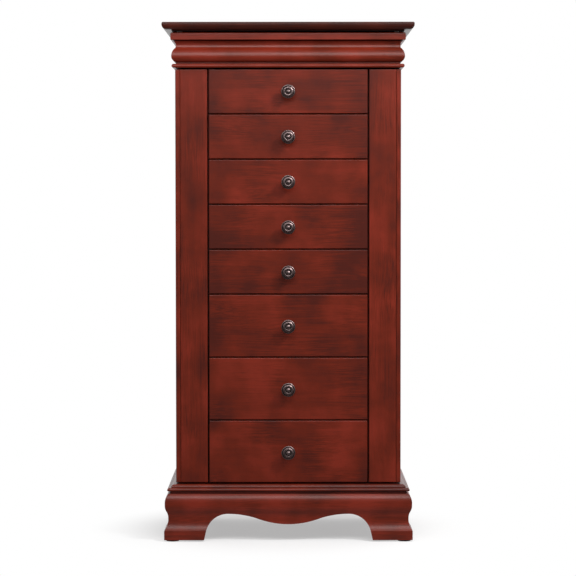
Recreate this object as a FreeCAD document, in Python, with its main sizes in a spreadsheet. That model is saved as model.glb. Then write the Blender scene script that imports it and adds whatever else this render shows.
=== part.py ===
import FreeCAD, Part
import os
import re
import Sketcher
from FreeCAD import Placement, Rotation, Vector

# Lift-top jewelry cabinet: a bank of drawers between two side doors, on a bracket base.
# Millimetres. +X is the viewer's right, the front faces -Y, +Z is up and z = 0 is the floor.
# The origin is the middle of the footprint, from the lid's front edge to the hinge barrels.

SIZES = {
    # case
    "height": 1016,
    "body_width": 442,
    "body_depth": 308,
    "front_thick": 16,
    "reveal": 3,
    "edge_round": 1.6,
    "frame_wall": 20,
    "stile_width": 62.5,
    "panel_thick": 9,
    "partition_thick": 14,
    "partition_lap": 3,
    "stop_gap": 0.5,
    "back_thick": 5,
    "rail_thick": 15,
    "post_width": 32,
    "post_depth": 18,
    "deck_thick": 10,
    # lid
    "lid_overhang": 25,
    "lid_thick": 16.8,
    "lid_gap": 2.5,
    "lid_lip_out": 6,
    "lid_lip": 2,
    "lid_slope": 0.3,
    "lid_round_width": 10,
    "lid_edge_round": 3,
    "lid_edge": 2,
    "mirror_thick": 3,
    "mirror_lap": 5,
    "frame_bar": 22,
    "frame_thick": 8,
    "frame_margin": 20,
    "bumper_radius": 5,
    "bumper_gap": 0.3,
    "bumper_inset": 9,
    # crown, from its bead up to its flat band
    "bead_height": 7.5,
    "bead_seat": 3,
    "bead_out": 6.6,
    "quirk_height": 4,
    "quirk_in": 2,
    "torus_low": 10.8,
    "torus_high": 17,
    "torus_out": 7.2,
    "torus_top_in": 1,
    "fillet_height": 1.2,
    "cove_low": 3.8,
    "cove_high": 7.5,
    "cove_in": 1.5,
    "cove_top_out": 3.5,
    "band_groove": 2,
    "band_height": 14.7,
    "band_out": 8.6,
    "band_low_round": 1.5,
    "band_top_round": 3.5,
    # base moulding, from its bead up
    "foot_quirk": 3,
    "foot_quirk_out": 11,
    "foot_bead_low": 1.6,
    "foot_bead_high": 4,
    "foot_bead_seat": 13.3,
    "foot_bead_out": 17,
    "foot_step": 0.8,
    "ovolo_height": 5.6,
    "ovolo_out": 9.5,
    "ovolo_top_out": 3.5,
    # bracket base, from the floor up
    "glide_height": 3,
    "glide_radius": 12.5,
    "glide_inset": 16,
    "foot_block": 18,
    "foot_cove": 22,
    "neck_height": 3,
    "ogee_height": 25,
    "bulge_height": 5,
    "shoulder_height": 17,
    "bracket_wall": 4,
    "foot_out": 22.8,
    "neck_out": 15,
    "bulge_out": 21.6,
    "shoulder_out": 15.2,
    "foot_width": 77.6,
    "rear_foot_width": 70,
    "foot_lean": 4.5,
    "arch_spring": 20,
    "arch_foot": 48,
    "arch_height": 54,
    "arch_drop": 33.5,
    "back_rail_rise": 42,
    "block_side": 40,
    "block_rise": 6,
    # drawers
    "drawer_gap": 2,
    "deep_pitch": 124,
    "box_wall": 9,
    "box_length": 260,
    "box_drop": 8,
    "side_gap": 1,
    "bottom_thick": 3,
    "bottom_rise": 6,
    "groove_depth": 4,
    "groove_slack": 0.2,
    "runner_width": 10,
    "runner_height": 8,
    "runner_rise": 6,
    "slide_gap": 0.4,
    # knobs
    "knob_drop": 1,
    "knob_radius": 13.75,
    "knob_length": 22.5,
    "knob_foot": 7,
    "knob_foot_thick": 1.5,
    "knob_neck": 4.6,
    "knob_neck_top": 9,
    "knob_under": 14.6,
    "knob_rim": 16.4,
    "knob_bore": 12,
    "screw_radius": 1.95,
    "screw_slack": 0.05,
    "screw_head": 4,
    "screw_head_thick": 2.5,
    # hinges, catches and small screws
    "hinge_length": 50,
    "hinge_offset": 2.6,
    "barrel_radius": 2.4,
    "pin_radius": 1.15,
    "pin_slack": 0.05,
    "pin_cap": 1,
    "knuckle_gap": 0.3,
    "leaf_thick": 1,
    "lid_leaf_width": 13,
    "door_leaf_width": 8,
    "hinge_gap": 2.5,
    "lid_hinge_inset": 35,
    "door_hinge_inset": 90,
    "wood_screw_radius": 1.2,
    "wood_screw_head": 2.5,
    "wood_screw_length": 11,
    "catch_width": 16,
    "catch_depth": 18,
    "catch_height": 42,
    "catch_drop": 28,
    "catch_gap": 0.4,
    "strike_thick": 1.2,
    "strike_margin": 2,
    # necklace side
    "hook_rail_thick": 10,
    "hook_rail_height": 22,
    "hook_rail_drop": 40,
    "fitting_margin": 22,
    "hook_flange": 4,
    "hook_flange_thick": 1,
    "hook_wire": 1.1,
    "hook_shank": 9,
    "hook_loop": 6,
    "pocket_board": 4,
    "pocket_height": 95,
    "pocket_reach": 30,
    "pocket_rise": 14,
    # top tray
    "divider_thick": 6,
    "divider_height": 30,
    "divider_offset": 20,
    "divider_cross": 28,
    "roll_height": 26,
    "roll_gap": 1,
    "roll_side_gap": 3,
}

SHALLOW_DRAWERS = 5
DEEP_DRAWERS = 3
DRAWERS = SHALLOW_DRAWERS + DEEP_DRAWERS
HOOKS = 7
RING_ROLLS = 13

doc = FreeCAD.newDocument("jewelry_cabinet")
sheet = doc.addObject("Spreadsheet::Sheet", "Sizes")
for row, (alias, value) in enumerate(SIZES.items(), 1):
    sheet.set(f"A{row}", str(value))
    sheet.setAlias(f"A{row}", alias)
doc.recompute()

# Places worked out from the sizes, as expressions
HALF = "body_width / 2"
FRONT = "(lid_overhang - body_depth - hinge_offset - barrel_radius) / 2"
BACK = f"({FRONT} + body_depth)"
PANEL_FACE = f"({BACK} - back_thick)"
FRONTS_BACK = f"({FRONT} + front_thick)"
INSIDE_FRONT = f"({FRONTS_BACK} + stop_gap)"
FRAME_IN = f"({HALF} - frame_wall)"
STILE_EDGE = f"({HALF} - stile_width)"
PARTITION_OUT = f"({STILE_EDGE} + partition_lap)"
PARTITION_IN = f"({PARTITION_OUT} - partition_thick)"
PANEL_IN = f"({HALF} - panel_thick)"
SHOULDER_TOP = "(foot_block + foot_cove + neck_height + ogee_height + bulge_height + shoulder_height)"
BRACKET_HEIGHT = f"({SHOULDER_TOP} + foot_quirk)"
BRACKET_TOP = f"(glide_height + {BRACKET_HEIGHT})"
FOOT_BEAD_TOP = "(foot_quirk + foot_bead_low + foot_bead_high)"
FOOT_MOULDING = f"({FOOT_BEAD_TOP} + foot_step + ovolo_height)"
CASE_BOTTOM = f"({BRACKET_TOP} + {FOOT_MOULDING})"
TORUS_BOTTOM = "(bead_height + quirk_height)"
TORUS_TOP = f"({TORUS_BOTTOM} + torus_low + torus_high)"
COVE_BOTTOM = f"({TORUS_TOP} + fillet_height)"
COVE_TOP = f"({COVE_BOTTOM} + cove_low + cove_high)"
BAND_BOTTOM = f"({COVE_TOP} + band_groove)"
CROWN_HEIGHT = f"({BAND_BOTTOM} + band_height)"
LID_BOTTOM = "(height - lid_thick)"
CROWN_TOP = f"({LID_BOTTOM} - lid_gap)"
CROWN_BOTTOM = f"({CROWN_TOP} - {CROWN_HEIGHT})"
DECK_TOP = f"({CROWN_BOTTOM} + deck_thick)"
DOOR_BOTTOM = f"({CASE_BOTTOM} + reveal)"
DOOR_HEIGHT = f"({CROWN_BOTTOM} - {CASE_BOTTOM} - 2 * reveal)"
POST_FACE = f"({BACK} - post_depth)"
DOOR_BACK = f"({POST_FACE} - hinge_gap)"
TRAY_FRONT = f"({FRONT} + frame_wall)"
TRAY_BACK = f"({BACK} - rail_thick)"


def fit(text):
    """Names the sheet in front of each size that an expression uses."""
    return re.sub(r"[a-z_]+", lambda word: ("Sizes." if word[0] in SIZES else "") + word[0], text)


def number(text):
    return float(sheet.evalExpression(fit(text)))


def bind(thing, **sizes):
    for name, text in sizes.items():
        thing.setExpression(name, fit(text))


def place(thing, x, y, z):
    for axis, text in zip("xyz", (x, y, z)):
        thing.setExpression(f"Placement.Base.{axis}", fit(text))


def box(name, low, size):
    """Square block from its low corner."""
    block = doc.addObject("Part::Box", name)
    bind(block, Length=size[0], Width=size[1], Height=size[2])
    place(block, *low)
    return block


def rod(name, start, along, radius, length):
    """Round bar from the middle of one end, along a direction."""
    bar = doc.addObject("Part::Cylinder", name)
    bar.Placement = Placement(Vector(), Rotation(Vector(0, 0, 1), Vector(*along)))
    bind(bar, Radius=radius, Height=length)
    place(bar, *start)
    return bar


def cut(name, base, tool):
    result = doc.addObject("Part::Cut", name)
    result.Base = base
    result.Tool = tool
    return result


def common(name, base, tool):
    result = doc.addObject("Part::Common", name)
    result.Base = base
    result.Tool = tool
    return result


def fused(name, pieces):
    result = doc.addObject("Part::MultiFuse", name)
    result.Shapes = pieces
    result.Refine = True
    return result


def together(name, pieces):
    """Separate solids under one name."""
    group = doc.addObject("Part::Compound", name)
    group.Links = pieces
    return group


def mirrored(name, source):
    """The same piece on the other side of the cabinet."""
    twin = doc.addObject("Part::Mirroring", name)
    twin.Source = source
    twin.Normal = Vector(1, 0, 0)
    return twin


def both_sides(name, source):
    return together(name, [source, mirrored(f"{name}_left", source)])


def origin_plane(body, role):
    return [feature for feature in body.Origin.OriginFeatures if feature.Role == role][0]


def arc_middle(kind, here, there):
    """Centre of an arc that lies level, or plumb, at its start or at its end."""
    fixed, other = (here, there) if kind.endswith("start") else (there, here)
    across, up = other.x - fixed.x, other.y - fixed.y
    if kind.startswith("level"):
        return Vector(fixed.x, fixed.y + (across ** 2 + up ** 2) / (2 * up), 0)
    return Vector(fixed.x + (across ** 2 + up ** 2) / (2 * across), fixed.y, 0)


def outline(body, role, start, steps):
    """Closed sketch on one of the body's planes, each corner held by two sizes.

    A step is (kind, corner). The kinds are line, and four arcs: level_start and level_end lie
    level at that end, plumb_start and plumb_end stand upright there."""
    sketch = body.newObject("Sketcher::SketchObject", f"{body.Name}_outline")
    sketch.AttachmentSupport = (origin_plane(body, role), [""])
    sketch.MapMode = "FlatFace"
    corners = [start] + [corner for kind, corner in steps]
    kinds = [kind for kind, corner in steps] + ["line"]
    spots = [Vector(number(across), number(up), 0) for across, up in corners]
    first_end = []
    for index, kind in enumerate(kinds):
        here, there = spots[index], spots[(index + 1) % len(spots)]
        if kind == "line":
            sketch.addGeometry(Part.LineSegment(here, there), False)
            first_end.append(1)
            continue
        middle = arc_middle(kind, here, there)
        turns_left = (here - middle).cross(there - middle).z > 0
        low, high = (here, there) if turns_left else (there, here)
        circle = Part.Circle(middle, Vector(0, 0, 1), (here - middle).Length)
        sketch.addGeometry(Part.ArcOfCircle(circle, circle.parameter(low), circle.parameter(high)), False)
        first_end.append(1 if turns_left else 2)
    for index, kind in enumerate(kinds):
        after = (index + 1) % len(kinds)
        last_end = 3 - first_end[index]
        sketch.addConstraint(Sketcher.Constraint("Coincident", index, last_end, after, first_end[after]))
        if kind != "line":
            upright = "Vertical" if kind.startswith("level") else "Horizontal"
            end = first_end[index] if kind.endswith("start") else last_end
            sketch.addConstraint(Sketcher.Constraint(upright, index, 3, index, end))
        for name, text in zip(("DistanceX", "DistanceY"), corners[index]):
            size = Sketcher.Constraint(name, -1, 1, index, first_end[index], number(text))
            held = sketch.addConstraint(size)
            sketch.setExpression(f"Constraints[{held}]", fit(text))
    return sketch


def extruded(name, role, start, steps, length):
    """Body with one outline, padded equally to both sides of its plane."""
    body = doc.addObject("PartDesign::Body", name)
    sketch = outline(body, role, start, steps)
    pad = body.newObject("PartDesign::Pad", f"{name}_pad")
    pad.Profile = sketch
    pad.SideType = "Symmetric"
    bind(pad, Length=length)
    return body


def eased_board(name, low, size):
    """Board whose front edges are rounded over."""
    body = doc.addObject("PartDesign::Body", name)
    block = body.newObject("PartDesign::AdditiveBox", f"{name}_block")
    bind(block, Length=size[0], Width=size[1], Height=size[2])
    place(body, *low)
    doc.recompute()
    front = [f"Edge{index}" for index, edge in enumerate(block.Shape.Edges, 1) if edge.BoundBox.YMax < 0.001]
    easing = body.newObject("PartDesign::Fillet", f"{name}_easing")
    easing.Base = (block, front)
    bind(easing, Radius="edge_round")
    return body


subparts = []


def node(label, thing):
    """Names a finished sub-part."""
    thing.Label = label
    subparts.append(thing)
    return thing


def moulding(name, steps, inset, reach, base):
    """Front, right and left lengths of a moulding, mitred at the front corners.

    The outline's across size is counted outwards from the moulding's inner face."""
    def stock(side, length):
        return extruded(f"{name}_{side}_stock", "XZ_Plane", ("0", "0"), steps, length)

    wedge = doc.addObject("Part::Wedge", f"{name}_mitre")
    bind(wedge, Ymin=f"{FRONT} - {reach}", Ymax=f"{FRONT} + {inset}",
         Xmin=f"-{HALF} - {reach}", Xmax=f"{HALF} + {reach}",
         X2min=f"-{HALF} + {inset}", X2max=f"{HALF} - {inset}",
         Zmin="0", Zmax="2 * height", Z2min="0", Z2max="2 * height")
    front = stock("front", f"2 * ({HALF} + {reach})")
    front.Placement = Placement(Vector(), Rotation(Vector(0, 0, 1), -90))
    place(front, "0", f"{FRONT} + {inset}", base)
    side = stock("side", f"{BACK} - {FRONT} + {reach}")
    place(side, f"{HALF} - {inset}", f"({BACK} + {FRONT} - {reach}) / 2", base)
    right = cut(f"{name}_right", side, wedge)
    return [common(f"{name}_front", front, wedge), right, mirrored(f"{name}_left", right)]


# Bracket base: an ogee board on three sides, its lower edge cut away between the feet
def out(text, inset):
    return f"{inset} + {text}"


def arch_tool(name, role, half_span, spring_in, length):
    """Space under an apron: a round arch beside each foot and a drop in the middle."""
    foot = f"({half_span})"
    spring = f"({half_span} - {spring_in})"
    crest = f"({half_span} - arch_foot)"
    middle = "(arch_height + arch_drop) / 2"
    steps = [
        ("line", (foot, "0")),
        ("line", (spring, "arch_spring")),
        ("level_end", (crest, "arch_height")),
        ("level_start", (f"{crest} / 2", middle)),
        ("level_end", ("0", "arch_drop")),
        ("level_start", (f"-{crest} / 2", middle)),
        ("level_end", (f"-{crest}", "arch_height")),
        ("level_start", (f"-{spring}", "arch_spring")),
        ("line", (f"-{foot}", "0")),
    ]
    return extruded(name, role, ("0", "0"), steps, length)


OGEE_MIDDLE = "(neck_out + bulge_out) / 2"
NECK_BOTTOM = "(foot_block + foot_cove)"
NECK_TOP = f"({NECK_BOTTOM} + neck_height)"
BULGE_BOTTOM = f"({NECK_TOP} + ogee_height)"
BULGE_TOP = f"({BULGE_BOTTOM} + bulge_height)"
bracket_steps = [
    ("line", (out("foot_out", "bracket_wall"), "0")),
    ("line", (out("foot_out", "bracket_wall"), "foot_block")),
    ("plumb_end", (out("neck_out", "bracket_wall"), NECK_BOTTOM)),
    ("line", (out("neck_out", "bracket_wall"), NECK_TOP)),
    ("plumb_start", (out(OGEE_MIDDLE, "bracket_wall"), f"{NECK_TOP} + ogee_height / 2")),
    ("plumb_end", (out("bulge_out", "bracket_wall"), BULGE_BOTTOM)),
    ("line", (out("bulge_out", "bracket_wall"), BULGE_TOP)),
    ("plumb_start", (out("shoulder_out", "bracket_wall"), SHOULDER_TOP)),
    ("line", (out("foot_quirk_out", "bracket_wall"), SHOULDER_TOP)),
    ("line", (out("foot_quirk_out", "bracket_wall"), BRACKET_HEIGHT)),
    ("line", ("0", BRACKET_HEIGHT)),
]
bracket = moulding("bracket", bracket_steps, "bracket_wall", "foot_out", "glide_height")
front_arch = arch_tool("front_arch", "XZ_Plane", f"{HALF} + foot_out - foot_width", "foot_lean",
                       "4 * (foot_out + bracket_wall)")
place(front_arch, "0", FRONT, "0")
node("base_front", cut("base_front_board", bracket[0], front_arch))

SIDE_ARCH_START = f"({FRONT} - foot_out + foot_width)"
SIDE_ARCH_END = f"({BACK} - rear_foot_width)"
side_arch = arch_tool("side_arch", "YZ_Plane", f"({SIDE_ARCH_END} - {SIDE_ARCH_START}) / 2", "foot_lean",
                      "4 * (foot_out + bracket_wall)")
place(side_arch, HALF, f"({SIDE_ARCH_END} + {SIDE_ARCH_START}) / 2", "0")
base_side = cut("base_side_board", bracket[1], side_arch)
node("base_sides", both_sides("base_sides_pair", base_side))

# Foot glides, one under each corner
GLIDE_X = f"({HALF} + foot_out - glide_inset)"
glide_y = {"front": f"{FRONT} - foot_out + glide_inset", "rear": f"{BACK} - glide_inset"}
glide_pair = [rod(f"glide_{where}", (GLIDE_X, y, "0"), (0, 0, 1), "glide_radius", "glide_height")
              for where, y in glide_y.items()]
node("foot_glides", both_sides("glide_set", together("glide_pair", glide_pair)))

# Corner blocks inside the feet, which carry the bottom board
BLOCK_X = f"({HALF} - bracket_wall - block_side)"
block_size = ("block_side", "block_side", f"{BRACKET_TOP} - block_rise")
front_block = box("front_block", (BLOCK_X, f"{FRONT} + bracket_wall", "block_rise"), block_size)
rear_block = box("rear_block", (BLOCK_X, f"{TRAY_BACK} - block_side", "block_rise"), block_size)
block_pair = together("block_pair", [front_block, rear_block])
node("corner_blocks", both_sides("block_set", block_pair))

# Base moulding, which caps the bracket base
foot_moulding_steps = [
    ("line", (out("foot_quirk_out", "frame_wall"), "0")),
    ("line", (out("foot_quirk_out", "frame_wall"), "foot_quirk")),
    ("line", (out("foot_bead_seat", "frame_wall"), "foot_quirk")),
    ("plumb_end", (out("foot_bead_out", "frame_wall"), "foot_quirk + foot_bead_low")),
    ("plumb_start", (out("foot_bead_seat", "frame_wall"), FOOT_BEAD_TOP)),
    ("line", (out("ovolo_out", "frame_wall"), FOOT_BEAD_TOP)),
    ("line", (out("ovolo_out", "frame_wall"), f"{FOOT_BEAD_TOP} + foot_step")),
    ("level_end", (out("ovolo_top_out", "frame_wall"), FOOT_MOULDING)),
    ("line", ("0", FOOT_MOULDING)),
]
base_moulding = moulding("foot_moulding", foot_moulding_steps, "frame_wall", "foot_bead_out", BRACKET_TOP)
node("base_moulding", together("base_moulding_set", base_moulding))

# Case: bottom board, back rails, posts, partitions, back panel and deck
INNER_DEPTH = f"({PANEL_FACE} - {TRAY_FRONT})"
node("bottom_board", box("bottom", (f"-{FRAME_IN}", TRAY_FRONT, BRACKET_TOP),
                         (f"2 * {FRAME_IN}", INNER_DEPTH, FOOT_MOULDING)))
base_rail = box("base_rail", (f"-({HALF} - bracket_wall)", TRAY_BACK, "back_rail_rise"),
                (f"2 * ({HALF} - bracket_wall)", "rail_thick", f"{BRACKET_TOP} - back_rail_rise"))
crown_rail = box("crown_rail", (f"-{FRAME_IN}", TRAY_BACK, DECK_TOP),
                 (f"2 * {FRAME_IN}", "rail_thick", f"{CROWN_TOP} - {DECK_TOP}"))
node("back_rails", together("rail_pair", [base_rail, crown_rail]))

CASE_HEIGHT = f"({CROWN_BOTTOM} - {CASE_BOTTOM})"
post_block = box("post_block", (f"{HALF} - post_width", POST_FACE, CASE_BOTTOM),
                 ("post_width", "post_depth", CASE_HEIGHT))
post_rebate = box("post_rebate", (f"{HALF} - post_width", PANEL_FACE, CASE_BOTTOM),
                  ("post_width - frame_wall", "back_thick", CASE_HEIGHT))
node("back_posts", both_sides("post_pair", cut("post", post_block, post_rebate)))

partition = box("partition", (PARTITION_IN, INSIDE_FRONT, CASE_BOTTOM),
                ("partition_thick", f"{PANEL_FACE} - {INSIDE_FRONT}", CASE_HEIGHT))
node("partitions", both_sides("partition_pair", partition))
node("back_panel", box("panel", (f"-{FRAME_IN}", PANEL_FACE, BRACKET_TOP),
                       (f"2 * {FRAME_IN}", "back_thick", f"{DECK_TOP} - {BRACKET_TOP}")))
node("deck_board", box("deck", (f"-{FRAME_IN}", TRAY_FRONT, CROWN_BOTTOM),
                       (f"2 * {FRAME_IN}", INNER_DEPTH, "deck_thick")))

# Crown moulding, which forms the walls of the top compartment
crown_steps = [
    ("line", (out("bead_seat", "frame_wall"), "0")),
    ("plumb_end", (out("bead_out", "frame_wall"), "bead_height / 2")),
    ("plumb_start", (out("bead_seat", "frame_wall"), "bead_height")),
    ("line", ("frame_wall - quirk_in", "bead_height")),
    ("line", ("frame_wall - quirk_in", TORUS_BOTTOM)),
    ("line", ("frame_wall", TORUS_BOTTOM)),
    ("plumb_end", (out("torus_out", "frame_wall"), f"{TORUS_BOTTOM} + torus_low")),
    ("plumb_start", ("frame_wall - torus_top_in", TORUS_TOP)),
    ("line", ("frame_wall - torus_top_in", COVE_BOTTOM)),
    ("plumb_end", ("frame_wall - cove_in", f"{COVE_BOTTOM} + cove_low")),
    ("plumb_start", (out("cove_top_out", "frame_wall"), COVE_TOP)),
    ("line", ("frame_wall", COVE_TOP)),
    ("line", ("frame_wall", BAND_BOTTOM)),
    ("line", (out("band_out - band_low_round", "frame_wall"), BAND_BOTTOM)),
    ("plumb_end", (out("band_out", "frame_wall"), f"{BAND_BOTTOM} + band_low_round")),
    ("line", (out("band_out", "frame_wall"), f"{CROWN_HEIGHT} - band_top_round")),
    ("plumb_start", (out("band_out - band_top_round", "frame_wall"), CROWN_HEIGHT)),
    ("line", ("0", CROWN_HEIGHT)),
]
crown = moulding("crown", crown_steps, "frame_wall", "band_out", CROWN_BOTTOM)
node("crown_moulding", together("crown_set", crown))

# Lid: one board, its edge rounded under on the front and sides, square at the back
LID_LOW_OUT = "(lid_overhang - lid_round_width)"
LID_NOSE_TOP = "(lid_thick - lid_edge_round)"
lid_steps = [
    ("line", (out("lid_lip_out", "frame_wall"), "0")),
    ("line", (out("lid_lip_out", "frame_wall"), "lid_lip")),
    ("line", (out(LID_LOW_OUT, "frame_wall"), "lid_lip + lid_slope")),
    ("plumb_end", (out("lid_overhang", "frame_wall"), f"{LID_NOSE_TOP} - lid_edge")),
    ("line", (out("lid_overhang", "frame_wall"), LID_NOSE_TOP)),
    ("plumb_start", (out("lid_overhang - lid_edge_round", "frame_wall"), "lid_thick")),
    ("line", ("0", "lid_thick")),
]
lid_edges = moulding("lid_edge", lid_steps, "frame_wall", "lid_overhang", LID_BOTTOM)
lid_core = box("lid_core", (f"-{FRAME_IN}", TRAY_FRONT, LID_BOTTOM),
               (f"2 * {FRAME_IN}", f"{BACK} - {TRAY_FRONT}", "lid_thick"))
node("lid_board", fused("lid", [lid_core] + lid_edges))

# Mirror under the lid, in a mitred frame with a rebate for the glass
FRAME_X = f"({FRAME_IN} - frame_margin)"
FRAME_FRONT = f"({TRAY_FRONT} + frame_margin)"
FRAME_BACK = f"({TRAY_BACK} - frame_margin)"
FRAME_BOTTOM = f"({LID_BOTTOM} - frame_thick)"
GLASS_X = f"({FRAME_X} - frame_bar + mirror_lap)"
GLASS_FRONT = f"({FRAME_FRONT} + frame_bar - mirror_lap)"
GLASS_DEPTH = f"({FRAME_BACK} - {FRAME_FRONT} - 2 * (frame_bar - mirror_lap))"
glass = box("glass", (f"-{GLASS_X}", GLASS_FRONT, f"{LID_BOTTOM} - mirror_thick"),
            (f"2 * {GLASS_X}", GLASS_DEPTH, "mirror_thick"))
node("lid_mirror", glass)


def frame_bar(name, along, length, spot):
    """One bar of the mirror frame, mitred at both ends, with its long edge outwards."""
    bar = doc.addObject("Part::Wedge", f"{name}_blank")
    bind(bar, Xmin=f"-({length}) / 2", Xmax=f"({length}) / 2",
         X2min=f"-({length}) / 2 + frame_bar", X2max=f"({length}) / 2 - frame_bar",
         Ymin="0", Ymax="frame_bar", Zmin="0", Zmax="frame_thick", Z2min="0", Z2max="frame_thick")
    bar.Placement = Placement(Vector(), Rotation(Vector(0, 0, 1), along))
    place(bar, *spot)
    return cut(name, bar, glass)


FRAME_MIDDLE = f"({FRAME_FRONT} + {FRAME_BACK}) / 2"
FRAME_DEPTH = f"({FRAME_BACK} - {FRAME_FRONT})"
frame_bars = [
    frame_bar("frame_front", 0, f"2 * {FRAME_X}", ("0", FRAME_FRONT, FRAME_BOTTOM)),
    frame_bar("frame_right", 90, FRAME_DEPTH, (FRAME_X, FRAME_MIDDLE, FRAME_BOTTOM)),
    frame_bar("frame_rear", 180, f"2 * {FRAME_X}", ("0", FRAME_BACK, FRAME_BOTTOM)),
    frame_bar("frame_left", 270, FRAME_DEPTH, (f"-{FRAME_X}", FRAME_MIDDLE, FRAME_BOTTOM)),
]
node("lid_mirror_frame", together("frame_set", frame_bars))

# Bumpers on the crown, under the lid's front corners
bumper = rod("bumper", (f"{HALF} - bumper_inset", f"{FRONT} + bumper_inset", CROWN_TOP), (0, 0, 1),
             "bumper_radius", "lid_gap - bumper_gap")
node("lid_bumpers", both_sides("bumper_pair", bumper))


# Butt hinges: two leaves with interlocking knuckles on a capped pin
def wood_screw(name, x, y, z, toward):
    """Countersunk screw, its head flush with the outer face of a leaf, going along +Y or -Y."""
    head = doc.addObject("Part::Cone", f"{name}_head")
    head.Placement = Placement(Vector(), Rotation(Vector(0, 0, 1), Vector(0, toward, 0)))
    bind(head, Radius1="wood_screw_head", Radius2="wood_screw_radius", Height="leaf_thick")
    place(head, x, y, z)
    shank_start = f"{y} + ({toward}) * leaf_thick"
    shank = rod(f"{name}_shank", (x, shank_start, z), (0, toward, 0), "wood_screw_radius",
                "wood_screw_length - leaf_thick")
    return head, fused(name, [head, shank])


def hinge_leaf(name, toward, leaf_width, knuckles):
    """One leaf, upright, its pin on the local Z axis and its plate towards local -X.

    The plate lies on the side of the pin that toward names, +1 or -1 along local Y."""
    outer_face = f"({toward}) * hinge_gap / 2"
    low_face = f"{outer_face} - leaf_thick" if toward > 0 else outer_face
    plate = box(f"{name}_plate", (f"-hinge_offset - {leaf_width}", low_face, "0"),
                (leaf_width, "leaf_thick", "hinge_length"))
    solids = [plate]
    for index in knuckles:
        bottom = f"hinge_length * {index} / 3 + {'0' if index == 0 else 'knuckle_gap / 2'}"
        tall = f"hinge_length / 3 - knuckle_gap * {'1' if index == 1 else '0.5'}"
        solids.append(box(f"{name}_tab_{index}", ("-hinge_offset", low_face, bottom),
                          ("hinge_offset", "leaf_thick", tall)))
        solids.append(rod(f"{name}_knuckle_{index}", ("0", "0", bottom), (0, 0, 1), "barrel_radius", tall))
    blank = fused(f"{name}_blank", solids)
    bore = rod(f"{name}_bore", ("0", "0", "0"), (0, 0, 1), "pin_radius + pin_slack", "hinge_length")
    inner_face = f"({outer_face} - ({toward}) * leaf_thick)"
    heads, screws = [], []
    for number_up, height in enumerate(("hinge_length / 5", "hinge_length * 4 / 5")):
        head, screw = wood_screw(f"{name}_screw_{number_up}", f"-hinge_offset - {leaf_width} / 2",
                                 inner_face, height, toward)
        heads.append(head)
        screws.append(screw)
    return cut(f"{name}_leaf", blank, together(f"{name}_holes", [bore] + heads)), screws


def hinge(name, leaf_width, turn, spot):
    """Both halves of a hinge, turned and put in place: the half with the pin, and the other."""
    pinned, pinned_screws = hinge_leaf(f"{name}_pinned", -1, leaf_width, (0, 2))
    plain, plain_screws = hinge_leaf(f"{name}_plain", 1, leaf_width, (1,))
    pin = rod(f"{name}_pin", ("0", "0", "0"), (0, 0, 1), "pin_radius", "hinge_length")
    caps = [rod(f"{name}_cap_low", ("0", "0", "-pin_cap"), (0, 0, 1), "barrel_radius", "pin_cap"),
            rod(f"{name}_cap_high", ("0", "0", "hinge_length"), (0, 0, 1), "barrel_radius", "pin_cap")]
    capped_pin = fused(f"{name}_capped_pin", [pin] + caps)
    halves = [together(f"{name}_pinned_half", [pinned, capped_pin] + pinned_screws),
              together(f"{name}_plain_half", [plain] + plain_screws)]
    for half in halves:
        half.Placement = Placement(Vector(), turn)
        place(half, *spot)
    return halves


# Turned onto the lid, a hinge's pin lies along X and its plates reach forward
ALONG_X = Rotation(Vector(0, 1, 0), Vector(0, 0, 1), Vector(1, 0, 0))
lid_hinge_x = [f"{FRAME_IN} - lid_hinge_inset - hinge_length", f"lid_hinge_inset - {FRAME_IN}"]
lid_hinges = [hinge(f"lid_hinge_{index}", "lid_leaf_width", ALONG_X,
                    (x, f"{BACK} + hinge_offset", f"{CROWN_TOP} + hinge_gap / 2"))
              for index, x in enumerate(lid_hinge_x)]
door_hinge_z = [f"{DOOR_BOTTOM} + door_hinge_inset",
                f"{DOOR_BOTTOM} + {DOOR_HEIGHT} - door_hinge_inset - hinge_length"]
door_hinges = [hinge(f"door_hinge_{index}", "door_leaf_width", Rotation(),
                     (f"{HALF} + hinge_offset", f"{DOOR_BACK} + hinge_gap / 2", z))
               for index, z in enumerate(door_hinge_z)]
post_leaves = together("post_leaves", [halves[1] for halves in door_hinges])
node("case_hinge_leaves", together("case_leaf_set", [halves[0] for halves in lid_hinges]
                                   + [post_leaves, mirrored("post_leaves_left", post_leaves)]))
node("lid_hinge_leaves", together("lid_leaf_set", [halves[1] for halves in lid_hinges]))

# Magnetic catches on the partitions, behind the door stiles
STRIKE_FACE = f"({FRONTS_BACK} + strike_thick)"
CATCH_TOP = f"({CROWN_BOTTOM} - catch_drop)"
catch = box("catch", (PARTITION_OUT, f"{STRIKE_FACE} + catch_gap", f"{CATCH_TOP} - catch_height"),
            ("catch_width", "catch_depth", "catch_height"))
node("door_catches", both_sides("catch_pair", catch))

# Side doors: a side panel, with the front stile glued to its inner face, and what hangs on them
door_panel = eased_board("door_panel_board", (PANEL_IN, FRONT, DOOR_BOTTOM),
                         ("panel_thick", f"{DOOR_BACK} - ({FRONT})", DOOR_HEIGHT))
door_stile = eased_board("door_stile_board", (STILE_EDGE, FRONT, DOOR_BOTTOM),
                         ("stile_width - panel_thick", "front_thick", DOOR_HEIGHT))
FITTING_FRONT = f"({FRONTS_BACK} + fitting_margin)"
FITTING_LENGTH = f"({DOOR_BACK} - fitting_margin - {FITTING_FRONT})"
RAIL_FACE = f"({PANEL_IN} - hook_rail_thick)"
RAIL_BOTTOM = f"({DOOR_BOTTOM} + {DOOR_HEIGHT} - hook_rail_drop - hook_rail_height)"
hook_rail = box("hook_rail_board", (RAIL_FACE, FITTING_FRONT, RAIL_BOTTOM),
                ("hook_rail_thick", FITTING_LENGTH, "hook_rail_height"))

# A cup hook: a flange and shank, and a loop that opens at the top of its free side
HOOK_TURN = 280
HOOK_START = 60


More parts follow.
